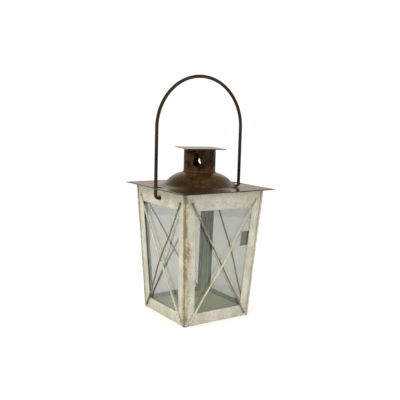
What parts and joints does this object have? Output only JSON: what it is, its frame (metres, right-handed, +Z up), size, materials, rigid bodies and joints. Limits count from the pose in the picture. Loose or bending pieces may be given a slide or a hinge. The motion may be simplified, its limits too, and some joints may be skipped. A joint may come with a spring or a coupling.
{
  "type": "candle lantern",
  "caption": "Square tapered metal candle lantern with glass panes, crossed wire braces, a lift-up domed roof with a vented chimney, and a bail handle.",
  "frame": {"origin": "centre of the base, on the surface the lantern stands on", "axes": "+Z up; -Y is the front, +X and -X are the sides that hold the handle's hooks"},
  "size_m": [0.14, 0.14, 0.3109],
  "materials": {
    "cream_paint": "distressed cream-white paint on sheet steel",
    "rubbed_paint": "cream paint rubbed back to brown along the folds",
    "brace_paint": "brushed cream paint over brown wire",
    "tray_paint": "thin grey-olive paint inside",
    "tin": "dull tinned steel",
    "glass": "clear float glass, 2 mm",
    "bronze_sheet": "glossy bronze-brown lacquer on sheet steel",
    "bronze_wire": "bronze-brown lacquered steel wire"
  },
  "bodies": {
    "root": {"floor_tray": "tray_paint", "panel_front": "cream_paint", "glass_front": "glass", "brace_front_a": "brace_paint", "brace_front_b": "brace_paint", "clip_front_left": "tin", "clip_front_right": "tin", "panel_right": "cream_paint", "glass_right": "glass", "brace_right_a": "brace_paint", "brace_right_b": "brace_paint", "clip_right_left": "tin", "clip_right_right": "tin", "panel_back": "cream_paint", "glass_back": "glass", "brace_back_a": "brace_paint", "brace_back_b": "brace_paint", "clip_back_left": "tin", "clip_back_right": "tin", "panel_left": "cream_paint", "glass_left": "glass", "brace_left_a": "brace_paint", "brace_left_b": "brace_paint", "clip_left_left": "tin", "clip_left_right": "tin", "corner_front_left": "rubbed_paint", "corner_front_right": "rubbed_paint", "corner_back_right": "rubbed_paint", "corner_back_left": "rubbed_paint"},
    "roof": {"roof_plate": "bronze_sheet", "chimney": "bronze_sheet", "chimney_cap": "bronze_sheet"},
    "handle": {"handle_wire": "bronze_wire"}
  },
  "joints": [
    {"name": "roof_lift", "type": "slide", "parent": "root", "child": "roof", "axis": [0, 0, 1], "range_m": [0, 0.0735]},
    {"name": "handle_swing", "type": "hinge", "parent": "root", "child": "handle", "pos_m": [0, 0, 0.15563], "axis": [1, 0, 0], "range_deg": [-3, 3]}
  ]
}
